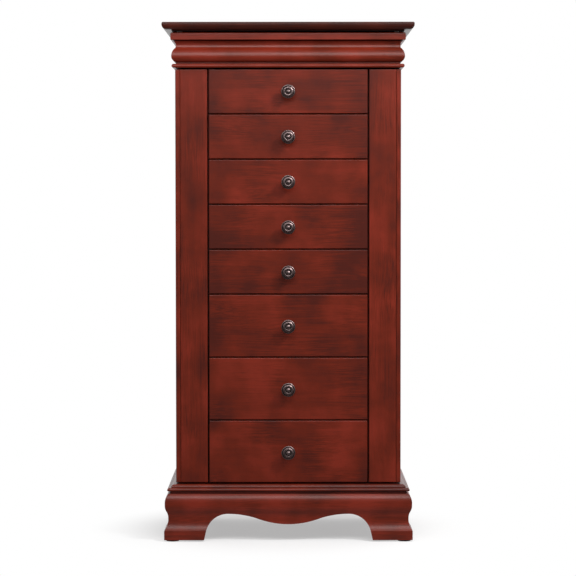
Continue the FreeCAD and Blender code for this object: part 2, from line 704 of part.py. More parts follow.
def cup_hook(name, y):
    middle = f"{RAIL_BOTTOM} + hook_rail_height / 2"
    loop_x = f"{RAIL_FACE} - hook_shank - hook_loop * cos({HOOK_START})"
    loop_z = f"{middle} - hook_loop * sin({HOOK_START})"
    flange = rod(f"{name}_flange", (RAIL_FACE, y, middle), (-1, 0, 0), "hook_flange", "hook_flange_thick")
    shank = rod(f"{name}_shank", (RAIL_FACE, y, middle), (-1, 0, 0), "hook_wire", "hook_shank")
    loop = doc.addObject("Part::Torus", f"{name}_loop")
    loop.Placement = Placement(Vector(), Rotation(Vector(0, -1, 0), HOOK_START - HOOK_TURN)
                               * Rotation(Vector(1, 0, 0), 90))
    loop.Angle3 = HOOK_TURN
    bind(loop, Radius1="hook_loop", Radius2="hook_wire")
    place(loop, loop_x, y, loop_z)
    return fused(name, [flange, shank, loop])


hook_y = [f"{FITTING_FRONT} + {FITTING_LENGTH} * {2 * index + 1} / {2 * HOOKS}" for index in range(HOOKS)]
hooks = together("hook_set", [cup_hook(f"hook_{index}", y) for index, y in enumerate(hook_y)])

# A pocket at the foot of the door, which keeps the chains from swinging
POCKET_BOTTOM = f"({DOOR_BOTTOM} + pocket_rise)"
POCKET_INNER = f"({PANEL_IN} - pocket_reach)"
pocket_front = box("pocket_front", (POCKET_INNER, FITTING_FRONT, POCKET_BOTTOM),
                   ("pocket_board", FITTING_LENGTH, "pocket_height"))
pocket_floor = box("pocket_floor", (f"{POCKET_INNER} + pocket_board", FITTING_FRONT, POCKET_BOTTOM),
                   ("pocket_reach - pocket_board", FITTING_LENGTH, "pocket_board"))
pocket_end_y = {"front": FITTING_FRONT, "rear": f"{DOOR_BACK} - fitting_margin - pocket_board"}
pocket_ends = [box(f"pocket_{where}_end",
                   (f"{POCKET_INNER} + pocket_board", y, f"{POCKET_BOTTOM} + pocket_board"),
                   ("pocket_reach - pocket_board", "pocket_board", "pocket_height - pocket_board"))
               for where, y in pocket_end_y.items()]
pocket = together("pocket_set", [pocket_front, pocket_floor] + pocket_ends)
strike = box("strike_plate", (f"{PARTITION_OUT} + strike_margin", FRONTS_BACK, f"{CATCH_TOP} - catch_height"),
             ("catch_width - 2 * strike_margin", "strike_thick", "catch_height"))
door_leaves = together("door_leaf_set", [halves[0] for halves in door_hinges])

door_pieces = {"panel": door_panel, "stile": door_stile, "hook_rail": hook_rail, "necklace_hooks": hooks,
               "necklace_pocket": pocket, "strike_plate": strike, "hinge_leaves": door_leaves}
for piece_name, piece in door_pieces.items():
    node(f"right_door_{piece_name}", piece)
    node(f"left_door_{piece_name}", mirrored(f"left_{piece_name}", piece))


# Drawers, counted from the top: all shallow ones share one pitch, the deep ones have their own
LOWEST_LINE = f"({CASE_BOTTOM} + reveal - drawer_gap / 2)"
HIGHEST_LINE = f"({CROWN_BOTTOM} - reveal + drawer_gap / 2)"
SHALLOW_PITCH = f"(({HIGHEST_LINE} - {LOWEST_LINE} - {DEEP_DRAWERS} * deep_pitch) / {SHALLOW_DRAWERS})"
FRONT_WIDTH = f"(2 * ({STILE_EDGE} - reveal))"
BOX_OUT = f"({PARTITION_IN} - side_gap)"
BOX_IN = f"({BOX_OUT} - box_wall)"
BOX_END = f"({FRONTS_BACK} + box_length)"


def line_below(drawer):
    """Height of the middle of the gap under a drawer."""
    if drawer >= SHALLOW_DRAWERS:
        return f"({LOWEST_LINE} + {DRAWERS - drawer} * deep_pitch)"
    return f"({HIGHEST_LINE} - {drawer} * {SHALLOW_PITCH})"


def drawer_front(name, bottom, tall):
    """Front board with rounded edges and one hole for the knob's screw."""
    board = eased_board(name, (f"-{FRONT_WIDTH} / 2", FRONT, bottom), (FRONT_WIDTH, "front_thick", tall))
    hole = board.newObject("PartDesign::SubtractiveCylinder", f"{name}_hole")
    hole.Placement = Placement(Vector(), Rotation(Vector(1, 0, 0), 90))
    bind(hole, Radius="screw_radius + screw_slack", Height="front_thick")
    place(hole, f"{FRONT_WIDTH} / 2", "front_thick", f"({tall}) / 2 - knob_drop")
    return board


def drawer_box(name, bottom, top):
    """Two grooved sides, a back, and a thin bottom slid into the grooves."""
    tall = f"({top} - {bottom})"
    panel_bottom = f"({bottom} + bottom_rise)"
    board = box(f"{name}_side_board", (BOX_IN, FRONTS_BACK, bottom), ("box_wall", "box_length", tall))
    groove = box(f"{name}_groove", (BOX_IN, FRONTS_BACK, panel_bottom),
                 ("groove_depth", "box_length", "bottom_thick"))
    side = cut(f"{name}_side", board, groove)
    sheet_half = f"({BOX_IN} + groove_depth - groove_slack)"
    panel = box(f"{name}_bottom", (f"-{sheet_half}", FRONTS_BACK, panel_bottom),
                (f"2 * {sheet_half}", "box_length", "bottom_thick"))
    back = box(f"{name}_back", (f"-{BOX_IN}", f"{BOX_END} - box_wall", f"{panel_bottom} + bottom_thick"),
               (f"2 * {BOX_IN}", "box_wall", f"{tall} - bottom_rise - bottom_thick"))
    return together(f"{name}_set", [side, mirrored(f"{name}_side_left", side), panel, back])


# A turned knob: foot, neck and head, with a rim, a rounded ring and a domed button on its face
knob_steps = [
    ("line", ("knob_foot", "0")),
    ("line", ("knob_foot", "knob_foot_thick")),
    ("level_start", ("knob_neck", "knob_foot_thick * 2.5")),
    ("line", ("knob_neck", "knob_neck_top")),
    ("plumb_start", ("knob_radius * 0.9", "knob_under")),
    ("plumb_end", ("knob_radius", "knob_rim")),
    ("plumb_start", ("knob_radius * 0.88", "knob_length * 0.8")),
    ("line", ("knob_radius * 0.8", "knob_length * 0.75")),
    ("plumb_start", ("knob_radius * 0.44", "knob_length * 0.9")),
    ("line", ("knob_radius * 0.36", "knob_length * 0.84")),
    ("level_end", ("0", "knob_length")),
    ("line", ("0", "knob_bore")),
    ("line", ("screw_radius + screw_slack", "knob_bore")),
]


def knob(name, height):
    """Knob on the front's face, and the screw that holds it from inside the drawer."""
    body = doc.addObject("PartDesign::Body", f"{name}_body")
    sketch = outline(body, "XY_Plane", ("screw_radius + screw_slack", "0"), knob_steps)
    turned = body.newObject("PartDesign::Revolution", f"{name}_turning")
    turned.Profile = sketch
    turned.ReferenceAxis = (sketch, ["V_Axis"])
    turned.Angle = 360
    body.Placement = Placement(Vector(), Rotation(Vector(0, 0, 1), 180))
    place(body, "0", FRONT, height)
    shank = rod(f"{name}_shank", ("0", FRONTS_BACK, height), (0, -1, 0), "screw_radius",
                "front_thick + knob_bore - 1")
    head = rod(f"{name}_head", ("0", FRONTS_BACK, height), (0, 1, 0), "screw_head", "screw_head_thick")
    return together(f"{name}_set", [body, fused(f"{name}_screw", [shank, head])])


for drawer in range(1, DRAWERS + 1):
    low = f"({line_below(drawer)} + drawer_gap / 2)"
    high = f"({line_below(drawer - 1)} - drawer_gap / 2)"
    box_low = f"({low} + runner_rise + slide_gap)"
    name = f"drawer_{drawer}"
    node(f"{name}_front", drawer_front(f"{name}_front_board", low, f"{high} - {low}"))
    node(f"{name}_box", drawer_box(f"{name}_case", box_low, f"({high} - box_drop)"))
    node(f"{name}_knob", knob(f"{name}_pull", f"({low} + {high}) / 2 - knob_drop"))

# Runners: one hardwood strip under each side of each drawer
strips = [box(f"runner_{drawer}", (f"{PARTITION_IN} - runner_width", INSIDE_FRONT,
                                   f"{line_below(drawer)} + drawer_gap / 2 + runner_rise - runner_height"),
              ("runner_width", f"{PANEL_FACE} - {INSIDE_FRONT}", "runner_height"))
          for drawer in range(1, DRAWERS + 1)]
node("drawer_runners", both_sides("runner_set", together("runner_strips", strips)))

# Top tray: dividers on the right, and a row of padded ring rolls on the left
TRAY_DEPTH = f"({TRAY_BACK} - {TRAY_FRONT})"
DIVIDER_X = "(-divider_offset - divider_thick / 2)"
DIVIDER_RIGHT = f"({DIVIDER_X} + divider_thick)"
long_divider = box("long_divider", (DIVIDER_X, TRAY_FRONT, DECK_TOP),
                   ("divider_thick", TRAY_DEPTH, "divider_height"))
cross_divider = box("cross_divider",
                    (DIVIDER_RIGHT, f"{TRAY_FRONT} + {TRAY_DEPTH} / 2 + divider_cross", DECK_TOP),
                    (f"{FRAME_IN} - {DIVIDER_RIGHT}", "divider_thick", "divider_height"))
node("tray_dividers", together("divider_set", [long_divider, cross_divider]))

ROLL_PITCH = f"({TRAY_DEPTH} / {RING_ROLLS})"
ROLL_WIDTH = f"({ROLL_PITCH} - roll_gap)"
ROLL_LENGTH = f"({DIVIDER_X} + {FRAME_IN} - 2 * roll_side_gap)"
roll_steps = [
    ("line", (ROLL_WIDTH, "0")),
    ("line", (ROLL_WIDTH, f"roll_height - {ROLL_WIDTH} / 2")),
    ("plumb_start", (f"{ROLL_WIDTH} / 2", "roll_height")),
    ("plumb_end", ("0", f"roll_height - {ROLL_WIDTH} / 2")),
]
rolls = []
for index in range(RING_ROLLS):
    roll = extruded(f"ring_roll_{index}", "YZ_Plane", ("0", "0"), roll_steps, ROLL_LENGTH)
    roll_y = f"{TRAY_FRONT} + {index} * {ROLL_PITCH} + roll_gap / 2"
    place(roll, f"({DIVIDER_X} - {FRAME_IN}) / 2", roll_y, DECK_TOP)
    rolls.append(roll)
node("ring_cushion", together("roll_set", rolls))

# Everything is sound before anything is written
doc.recompute()
for thing in doc.Objects:
    if "Invalid" in thing.State or "Error" in thing.State:
        raise RuntimeError(f"{thing.Name} did not build: {thing.State}")
for thing in subparts:
    if thing.Shape.isNull() or not thing.Shape.isValid() or not thing.Shape.Solids:
        raise RuntimeError(f"{thing.Label} has no sound shape")

os.makedirs("parts", exist_ok=True)
for thing in subparts:
    thing.Shape.exportStep(f"parts/{thing.Label}.step")
print(len(subparts), "sub-parts,", sum(len(thing.Shape.Solids) for thing in subparts), "solids")
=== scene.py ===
import math
import bmesh
import bpy
from mathutils import Matrix, Vector, noise


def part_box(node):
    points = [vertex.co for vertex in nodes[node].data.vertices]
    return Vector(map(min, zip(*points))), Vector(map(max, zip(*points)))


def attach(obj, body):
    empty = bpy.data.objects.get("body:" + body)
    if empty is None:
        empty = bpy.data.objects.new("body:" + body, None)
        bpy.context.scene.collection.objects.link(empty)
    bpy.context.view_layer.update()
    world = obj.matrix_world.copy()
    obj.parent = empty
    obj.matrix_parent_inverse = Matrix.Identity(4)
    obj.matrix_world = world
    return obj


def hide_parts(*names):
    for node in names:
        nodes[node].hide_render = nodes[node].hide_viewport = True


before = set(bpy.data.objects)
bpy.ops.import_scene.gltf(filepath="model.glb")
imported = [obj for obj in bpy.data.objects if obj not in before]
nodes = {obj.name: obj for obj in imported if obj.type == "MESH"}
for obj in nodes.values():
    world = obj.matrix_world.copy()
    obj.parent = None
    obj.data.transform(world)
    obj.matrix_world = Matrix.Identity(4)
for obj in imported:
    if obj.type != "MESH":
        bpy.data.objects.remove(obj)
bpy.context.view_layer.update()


# Foot glides: four dark polypropylene discs under the feet, injection moulded with a fine grain.
# The plastic looks satin, with faint paler scuffs where the cabinet has been slid.
MM = 0.001
PER_MM = 1000.0
SCUFF_MM = 6
# A mould's grain is finer than this, and is drawn as coarse as it needs to be to show.
MOULD_GRAIN_MM = 0.4
# The Mix node's sockets for colours and vectors go by number, because the kinds share their names.
COLOUR_A, COLOUR_B, COLOUR_OUT = 6, 7, 2
VECTOR_A, VECTOR_B, VECTOR_OUT = 4, 5, 1


def srgb(hex_code):
    """Linear RGBA of an sRGB hex colour."""
    channels = [int(hex_code[i:i + 2], 16) / 255 for i in (0, 2, 4)]
    return [c / 12.92 if c <= 0.04045 else ((c + 0.055) / 1.055) ** 2.4 for c in channels] + [1.0]


def add(tree, kind, inputs=None, **settings):
    """Adds a node. An input's value is a number, a colour, or a socket that it is linked from."""
    node = tree.nodes.new(kind)
    for name, value in settings.items():
        setattr(node, name, value)
    for name, value in (inputs or {}).items():
        socket = node.inputs[name]
        if isinstance(value, bpy.types.NodeSocket):
            tree.links.new(value, socket)
        else:
            socket.default_value = value
    return node


def new_material(name):
    """An empty node material and its shader, which is linked to the output."""
    material = bpy.data.materials.new(name)
    material.use_nodes = True
    tree = material.node_tree
    tree.nodes.clear()
    shader = add(tree, "ShaderNodeBsdfPrincipled")
    add(tree, "ShaderNodeOutputMaterial", {"Surface": shader.outputs["BSDF"]})
    return material, tree, shader


def finish_node(name, material):
    """Gives a CAD node its finish."""
    nodes[name].data.materials.clear()
    nodes[name].data.materials.append(material)


def moulded_plastic(name, hex_code, pale_hex, roughness):
    """Injection-moulded plastic with the fine grain of its mould, and faint scuffs."""
    material, tree, shader = new_material(name)
    place = add(tree, "ShaderNodeTexCoord").outputs["Object"]
    scuffs = add(tree, "ShaderNodeTexNoise", {"Vector": place, "Scale": PER_MM / SCUFF_MM, "Detail": 4.0})
    spread = add(tree, "ShaderNodeMapRange", {
        "Value": scuffs.outputs["Fac"], "From Min": 0.5, "From Max": 0.8})
    colour = add(tree, "ShaderNodeMix", {
        "Factor": spread.outputs["Result"], COLOUR_A: srgb(hex_code), COLOUR_B: srgb(pale_hex)},
        data_type="RGBA")
    grain = add(tree, "ShaderNodeTexNoise", {
        "Vector": place, "Scale": PER_MM / MOULD_GRAIN_MM, "Detail": 2.0})
    bump = add(tree, "ShaderNodeBump", {
        "Height": grain.outputs["Fac"], "Strength": 0.2, "Distance": 0.05 * MM})
    tree.links.new(colour.outputs[COLOUR_OUT], shader.inputs["Base Color"])
    tree.links.new(bump.outputs["Normal"], shader.inputs["Normal"])
    shader.inputs["Roughness"].default_value = roughness
    return material


finish_node("foot_glides", moulded_plastic("moulded_polypropylene_dark", "1c1714", "3a332e", roughness=0.5))


# Bracket base: an ogee-moulded front and two sides of rubberwood, glued round pine corner blocks.
# Dark cherry stain, shaded with toner and sealed with semi-gloss lacquer, gives soft streaks of
# grain, cloudy patches, and a broad highlight on every rounded edge. Grooves, joints and corners
# get painted shade, which also stands for the dark glaze left in them.
AXES = "XYZ"
ALONG_X, ALONG_Y, ALONG_Z = AXES
CHERRY_STAIN = {"deep": "4a160c", "mid": "641c09", "high": "7a2413"}
THIN_WASH = {"deep": "4d2417", "mid": "693523", "high": "7d452f"}
PORE_HEX = "2a0e09"
# This colour is also painted shade in grooves, joints and corners.
GLAZE_AND_SHADE_HEX = "140604"
LACQUERED = 0.32
# Length and width of the grain's features. Rubberwood's pores are about 0.2 mm wide, and are drawn
# wider, so that they show.
CURVE_MM = (320, 75)
BAND_MM = (260, 12)
STREAK_MM = (110, 1.5)
PORE_MM = (14, 0.7)
CURVE_BEND_MM = 9
# Sizes of the toner's clouds, of the patches that hide or show the streaks, and of the spray at
# the ends of a board.
CLOUD_MM = 80
SHOWN_MM = 120
END_PATCH_MM = 55
END_TONER = 60 * MM
# How near another surface must be for painted shade, which also stands for glaze left in grooves.
GLAZE_AND_SHADE_REACH = 5 * MM
# How much the clouds and the bands weigh in the colour, beside the streaks.
CLOUD_WEIGHT = 1.3
BAND_WEIGHT = 0.3


def grain_place(tree, grain, shift):
    """Object coordinates in metres, turned so that the grain runs along X, and moved by shift.

    grain is an axis or, for lengths mitred at the front corners, the front face's Y and the
    corner's X: what lies beyond the mitre has its grain along Y."""
    place = add(tree, "ShaderNodeTexCoord").outputs["Object"]
    parts = add(tree, "ShaderNodeSeparateXYZ", {"Vector": place}).outputs
    order = {ALONG_X: "XYZ", ALONG_Y: "YXZ", ALONG_Z: "ZXY"}
    if grain in order:
        turned = add(tree, "ShaderNodeCombineXYZ", dict(zip(AXES, (parts[axis] for axis in order[grain]))))
        turned = turned.outputs["Vector"]
    else:
        front_y, corner_x = grain
        across = add(tree, "ShaderNodeMath", {0: parts["X"]}, operation="ABSOLUTE")
        from_side = add(tree, "ShaderNodeMath", {0: corner_x, 1: across.outputs[0]}, operation="SUBTRACT")
        from_front = add(tree, "ShaderNodeMath", {0: parts["Y"], 1: front_y}, operation="SUBTRACT")
        on_side = add(tree, "ShaderNodeMath", {0: from_side.outputs[0], 1: from_front.outputs[0]},
                      operation="LESS_THAN")
        swapped = add(tree, "ShaderNodeCombineXYZ", {"X": parts["Y"], "Y": parts["X"], "Z": parts["Z"]})
        turned = add(tree, "ShaderNodeMix", {
            "Factor": on_side.outputs[0], VECTOR_A: place, VECTOR_B: swapped.outputs["Vector"]},
            data_type="VECTOR").outputs[VECTOR_OUT]
    return add(tree, "ShaderNodeVectorMath", {0: turned, 1: shift}, operation="ADD").outputs["Vector"]


def stretched_noise(tree, place, size_mm, detail):
    """Noise drawn out along the grain, in features of about size_mm, length and width."""
    length_mm, width_mm = size_mm
    scale = (PER_MM / length_mm, PER_MM / width_mm, PER_MM / width_mm)
    drawn = add(tree, "ShaderNodeVectorMath", {0: place, 1: scale}, operation="MULTIPLY")
    return add(tree, "ShaderNodeTexNoise", {
        "Vector": drawn.outputs["Vector"], "Scale": 1.0, "Detail": detail}).outputs["Fac"]


def curved_grain(tree, place):
    """The grain's coordinates, pushed sideways so that the grain runs in long curves."""
    sway = stretched_noise(tree, place, CURVE_MM, detail=1.0)
    centred = add(tree, "ShaderNodeMath", {0: sway, 1: 0.5}, operation="SUBTRACT").outputs[0]
    # The noise seldom leaves its middle by more than a quarter, so four times the bend reaches it.
    push = add(tree, "ShaderNodeMath", {0: centred, 1: 4 * CURVE_BEND_MM * MM},
               operation="MULTIPLY").outputs[0]
    sideways = add(tree, "ShaderNodeCombineXYZ", {"Y": push, "Z": push}).outputs["Vector"]
    return add(tree, "ShaderNodeVectorMath", {0: place, 1: sideways}, operation="ADD").outputs["Vector"]


def stained_wood(name, grain, shift=(0, 0, 0), tone=0.0, stain=CHERRY_STAIN, roughness=LACQUERED,
                 ends=None):
    """Stained and lacquered hardwood, with painted shade and dark glaze in its grooves and joints.

    shift is the board's place in the pattern, in metres, and tone lightens or darkens it. ends
    is its low and high corner, for the toner sprayed at its ends."""
    material, tree, shader = new_material(name)
    straight = grain_place(tree, grain, shift)
    place = curved_grain(tree, straight)

    # Streaks of grain, which show in some places and are hidden by toner in others.
    streaks = stretched_noise(tree, place, STREAK_MM, detail=3.0)
    strokes = add(tree, "ShaderNodeMath", {0: streaks, 1: 0.5}, operation="SUBTRACT").outputs[0]
    clear = add(tree, "ShaderNodeTexNoise", {
        "Vector": straight, "Scale": PER_MM / SHOWN_MM, "Detail": 1.0}).outputs["Fac"]
    shown = add(tree, "ShaderNodeMapRange", {
        "Value": clear, "From Min": 0.4, "From Max": 0.6, "To Min": 0.1, "To Max": 1.0}).outputs["Result"]
    level = add(tree, "ShaderNodeMath", {0: strokes, 1: shown, 2: tone + 0.5},
                operation="MULTIPLY_ADD").outputs[0]

    # Clouds of toner, and faint growth bands.
    clouds = add(tree, "ShaderNodeTexNoise", {
        "Vector": straight, "Scale": PER_MM / CLOUD_MM, "Detail": 3.5}).outputs["Fac"]
    bands = stretched_noise(tree, place, BAND_MM, detail=2.0)
    for pattern, weight in ((clouds, CLOUD_WEIGHT), (bands, BAND_WEIGHT)):
        centred = add(tree, "ShaderNodeMath", {0: pattern, 1: 0.5}, operation="SUBTRACT").outputs[0]
        level = add(tree, "ShaderNodeMath", {0: centred, 1: weight, 2: level},
                    operation="MULTIPLY_ADD").outputs[0]

    # Toner sprayed darker, in uneven patches, towards both ends of the board.
    if ends:
        low, high = (corner[AXES.index(grain)] for corner in ends)
        unmoved = add(tree, "ShaderNodeTexCoord").outputs["Object"]
        along = add(tree, "ShaderNodeSeparateXYZ", {"Vector": unmoved}).outputs[grain]
        offset = add(tree, "ShaderNodeMath", {0: along, 1: (low + high) / 2},
                     operation="SUBTRACT").outputs[0]
        offset = add(tree, "ShaderNodeMath", {0: offset}, operation="ABSOLUTE").outputs[0]
        toner = add(tree, "ShaderNodeMapRange", {
            "Value": offset, "From Min": (high - low) / 2 - END_TONER, "From Max": (high - low) / 2,
            "To Min": 0.0, "To Max": -0.3}, interpolation_type="SMOOTHSTEP").outputs["Result"]
        patchy = add(tree, "ShaderNodeTexNoise", {
            "Vector": straight, "Scale": PER_MM / END_PATCH_MM, "Detail": 2.0}).outputs["Fac"]
        level = add(tree, "ShaderNodeMath", {0: toner, 1: patchy, 2: level},
                    operation="MULTIPLY_ADD").outputs[0]

    # The stain's colour at each level, dark in the pores, with painted shade and glaze in the grooves.
    spread = add(tree, "ShaderNodeMapRange", {"Value": level, "From Min": 0.22, "From Max": 0.8})
    ramp = add(tree, "ShaderNodeValToRGB", {"Fac": spread.outputs["Result"]})
    ramp.color_ramp.elements[0].color = srgb(stain["deep"])
    ramp.color_ramp.elements[1].color = srgb(stain["high"])
    ramp.color_ramp.elements.new(0.5).color = srgb(stain["mid"])
    pores = stretched_noise(tree, place, PORE_MM, detail=1.0)
    pits = add(tree, "ShaderNodeMapRange", {
        "Value": pores, "From Min": 0.62, "From Max": 0.75, "To Min": 0.0, "To Max": 0.4}).outputs["Result"]
    colour = add(tree, "ShaderNodeMix", {
        "Factor": pits, COLOUR_A: ramp.outputs["Color"], COLOUR_B: srgb(PORE_HEX)}, data_type="RGBA")
    # Painted shade, partly real glaze: darker where other surfaces are near, in grooves, gaps and corners.
    open_face = add(tree, "ShaderNodeAmbientOcclusion", {"Distance": GLAZE_AND_SHADE_REACH}, samples=6).outputs["AO"]
    glaze_and_shade = add(tree, "ShaderNodeMapRange", {
        "Value": open_face, "From Min": 0.3, "From Max": 0.66,
        "To Min": 1.0, "To Max": 0.0}).outputs["Result"]
    colour = add(tree, "ShaderNodeMix", {
        "Factor": glaze_and_shade, COLOUR_A: colour.outputs[COLOUR_OUT], COLOUR_B: srgb(GLAZE_AND_SHADE_HEX)}, data_type="RGBA")
    bump = add(tree, "ShaderNodeBump", {"Height": pits, "Strength": 0.3, "Distance": -0.05 * MM})
    dulled = add(tree, "ShaderNodeMapRange", {"Value": glaze_and_shade, "To Min": roughness, "To Max": 0.8})
    tree.links.new(colour.outputs[COLOUR_OUT], shader.inputs["Base Color"])
    tree.links.new(bump.outputs["Normal"], shader.inputs["Normal"])
    tree.links.new(dulled.outputs["Result"], shader.inputs["Roughness"])
    shader.inputs["Specular IOR Level"].default_value = 0.4
    return material


finish_node("base_front", stained_wood("cherry_stained_apron", ALONG_X, (0.3, 0.1, 0.7), tone=0.12))
finish_node("base_sides", stained_wood("cherry_stained_base_sides", ALONG_Y, (0.9, 0.4, 0.2)))
finish_node("corner_blocks", stained_wood("washed_pine_blocks", ALONG_Z, stain=THIN_WASH, roughness=0.7))


# Base moulding: a bead under an ovolo, three lengths of the same rubberwood, mitred round the foot
# of the case. The grain runs along each length, and the lacquer lights its round edges.
body_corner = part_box("back_posts")[1].x
body_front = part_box("drawer_1_front")[0].y
MITRED = (body_front, body_corner)
finish_node("base_moulding", stained_wood("cherry_stained_base_moulding", MITRED, (0.5, 0.5, 0.1),
                                          tone=-0.1))


# Case: posts, rails, partitions, bottom and deck, screwed and glued, with a hardboard back.
# What shows outside is stained like the rest. The runners and the deck are only washed with stain,
# and the hardboard is left in its own dull brown.
finish_node("back_posts", stained_wood("cherry_stained_posts", ALONG_Z, (0.2, 0.8, 0.3)))
finish_node("back_rails", stained_wood("cherry_stained_rails", ALONG_X, (0.6, 0.1, 0.9)))
finish_node("bottom_board", stained_wood("cherry_stained_bottom", ALONG_X, (0.1, 0.6, 0.4)))
finish_node("partitions", stained_wood("cherry_stained_partitions", ALONG_Z, (0.7, 0.3, 0.5)))
inside_wood = stained_wood("washed_rubberwood", ALONG_Y, (0.4, 0.2, 0.6), stain=THIN_WASH, roughness=0.6)
finish_node("deck_board", inside_wood)
finish_node("drawer_runners", inside_wood)
HARDBOARD = {"deep": "3d2419", "mid": "4b2d1f", "high": "573626"}
finish_node("back_panel", stained_wood("brown_hardboard", ALONG_Z, (0.1, 0.1, 0.1), stain=HARDBOARD,
                                       roughness=0.75))


# Crown moulding: a bead, a torus, a cove and a flat band of the same rubberwood, mitred at the
# front corners. It is the wall of the top compartment, and its lacquered rounds catch the light
# from above in broad soft bands.
finish_node("crown_moulding", stained_wood("cherry_stained_crown", MITRED, (0.8, 0.7, 0.2), tone=0.18))


# Drawers: cherry-stained fronts with horizontal grain, on boxes of the same wood left paler.
# Each front is cut from its own board, so its figure and its tone differ a little.
FRONT_TONES = (-0.05, 0.0, 0.12, -0.02, -0.06, 0.04, 0.04, 0.03)
FRONT_SHIFT = Vector((0.37, 0.11, 0.23))
DRAWERS = range(1, len(FRONT_TONES) + 1)
for number, tone in zip(DRAWERS, FRONT_TONES):
    front = stained_wood(f"cherry_stained_front_{number}", ALONG_X, number * FRONT_SHIFT, tone,
                         ends=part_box(f"drawer_{number}_front"))
    finish_node(f"drawer_{number}_front", front)
    finish_node(f"drawer_{number}_box", inside_wood)


# Knobs: turned brass with an antique bronze patina, dark in the grooves and rubbed bright on
# the rings. Each is held by a screw from inside its drawer.
MOTTLE_MM = 2.5


def antique_metal(name, dark_hex, bright_hex, roughness, groove, ridge):
    """Patinated metal, dark and dull in the grooves, bright on the ridges.

    groove and ridge are the pointiness at which it is all dark and all bright."""
    material, tree, shader = new_material(name)
    place = add(tree, "ShaderNodeTexCoord").outputs["Object"]
    pointed = add(tree, "ShaderNodeNewGeometry").outputs["Pointiness"]
    rubbed = add(tree, "ShaderNodeMapRange", {"Value": pointed, "From Min": groove, "From Max": ridge})
    mottle = add(tree, "ShaderNodeTexNoise", {
        "Vector": place, "Scale": PER_MM / MOTTLE_MM, "Detail": 5.0}).outputs["Fac"]
    worn = add(tree, "ShaderNodeMath", {0: rubbed.outputs["Result"], 1: mottle},
               operation="MULTIPLY").outputs[0]
    colour = add(tree, "ShaderNodeMix", {
        "Factor": worn, COLOUR_A: srgb(dark_hex), COLOUR_B: srgb(bright_hex)}, data_type="RGBA")
    rough = add(tree, "ShaderNodeMapRange", {
        "Value": worn, "To Min": roughness + 0.15, "To Max": roughness})
    bump = add(tree, "ShaderNodeBump", {"Height": mottle, "Strength": 0.15, "Distance": 0.1 * MM})
    tree.links.new(colour.outputs[COLOUR_OUT], shader.inputs["Base Color"])
    tree.links.new(rough.outputs["Result"], shader.inputs["Roughness"])
    tree.links.new(bump.outputs["Normal"], shader.inputs["Normal"])
    shader.inputs["Metallic"].default_value = 1.0
    return material


bronze = antique_metal("antique_bronze_patina", "594a4a", "dcc3c0", roughness=0.26, groove=0.45, ridge=0.6)
for number in DRAWERS:
    finish_node(f"drawer_{number}_knob", bronze)


# Side doors: a side panel with the front stile glued to its inner face, hung on the back posts.
# Vertical grain, stained and lacquered on both faces, and a pale hook rail near the top inside.
for index, side in enumerate(("left", "right")):
    stile = stained_wood(f"cherry_stained_{side}_stile", ALONG_Z, (0.9 * index, 0.3, 0.4), tone=0.05)
    panel = stained_wood(f"cherry_stained_{side}_panel", ALONG_Z, (0.5, 0.7 * index, 0.8))
    finish_node(f"{side}_door_stile", stile)
    finish_node(f"{side}_door_panel", panel)
    finish_node(f"{side}_door_hook_rail", inside_wood)


# Necklace fittings: brass-plated cup hooks, antiqued so that only their high spots shine; pockets
# flocked with short fibre, which looks soft and matt; and zinc-plated steel strike plates, which
# meet magnetic catches of moulded brown nylon on the partitions.
NAP_MM = 25
# The flock's fibres are far finer than this, and are drawn coarse enough to show.
FIBRE_MM = 0.6


def flocked_felt(name, deep_hex, high_hex):
    """Short flocked fibre: very rough, with a soft sheen where it is seen at a slant."""
    material, tree, shader = new_material(name)
    place = add(tree, "ShaderNodeTexCoord").outputs["Object"]
    fibre = add(tree, "ShaderNodeTexNoise", {
        "Vector": place, "Scale": PER_MM / FIBRE_MM, "Detail": 4.0}).outputs["Fac"]
    nap = add(tree, "ShaderNodeTexNoise", {
        "Vector": place, "Scale": PER_MM / NAP_MM, "Detail": 2.0}).outputs["Fac"]
    mixed = add(tree, "ShaderNodeMath", {0: fibre, 1: nap}, operation="MULTIPLY")
    spread = add(tree, "ShaderNodeMapRange", {"Value": mixed.outputs[0], "From Min": 0.12, "From Max": 0.4})
    colour = add(tree, "ShaderNodeMix", {
        "Factor": spread.outputs["Result"], COLOUR_A: srgb(deep_hex), COLOUR_B: srgb(high_hex)},
        data_type="RGBA")
    bump = add(tree, "ShaderNodeBump", {"Height": fibre, "Strength": 0.5, "Distance": 0.3 * MM})
    tree.links.new(colour.outputs[COLOUR_OUT], shader.inputs["Base Color"])
    tree.links.new(bump.outputs["Normal"], shader.inputs["Normal"])
    shader.inputs["Roughness"].default_value = 0.95
    shader.inputs["Sheen Weight"].default_value = 0.5
    shader.inputs["Sheen Roughness"].default_value = 0.5
    shader.inputs["Specular IOR Level"].default_value = 0.2
    return material


brass = antique_metal("antiqued_brass_plate", "5e4526", "c9a866", roughness=0.28, groove=0.4, ridge=0.55)
zinc = antique_metal("zinc_plated_steel", "8f9192", "c4c6c6", roughness=0.3, groove=0.4, ridge=0.55)
felt = flocked_felt("flocked_felt", "8f7a62", "b6a084")
for side in ("left", "right"):
    finish_node(f"{side}_door_necklace_hooks", brass)
    finish_node(f"{side}_door_necklace_pocket", felt)
    finish_node(f"{side}_door_strike_plate", zinc)
finish_node("door_catches", moulded_plastic("moulded_nylon_brown", "33211a", "4a352c", roughness=0.45))
